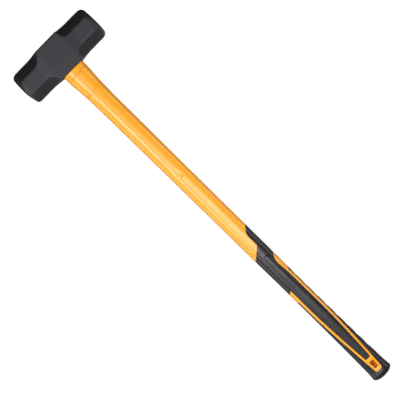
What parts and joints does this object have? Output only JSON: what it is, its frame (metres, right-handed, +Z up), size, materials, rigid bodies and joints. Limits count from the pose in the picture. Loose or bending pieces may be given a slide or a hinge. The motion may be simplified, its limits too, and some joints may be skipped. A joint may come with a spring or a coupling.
{
  "type": "sledgehammer",
  "caption": "Long-handled sledgehammer: forged octagonal head with a square eye block, bonded to a fibreglass-cored plastic handle with ribbed rubber grip and flared butt.",
  "frame": {"origin": "centre of the head's top resting face, on the axis of the eye", "axes": "+Z up the handle from the head to the butt; X is the striking axis, with the finger ripples on the -X edge; +Y and -Y are the broad faces of the handle and the cheeks of the head"},
  "size_m": [0.192, 0.073, 0.9],
  "materials": {
    "painted_steel": "satin dark grey paint over forged steel",
    "epoxy": "cast amber resin",
    "seal_rubber": "matt",
    "collar_plastic": "satin moulded polypropylene",
    "fibreglass": "ground glass-fibre and polyester rod",
    "cap_plastic": "natural moulded plastic",
    "jacket_plastic": "satin moulded polypropylene",
    "grip_rubber": "fine-textured thermoplastic rubber"
  },
  "bodies": {
    "root": {"head": "painted_steel", "eye_resin": "epoxy", "eye_seal": "seal_rubber", "neck_collar": "collar_plastic", "fibreglass_core": "fibreglass", "core_end_cap": "cap_plastic", "handle_jacket": "jacket_plastic", "upper_grip": "grip_rubber", "butt_grip": "grip_rubber"}
  },
  "joints": []
}
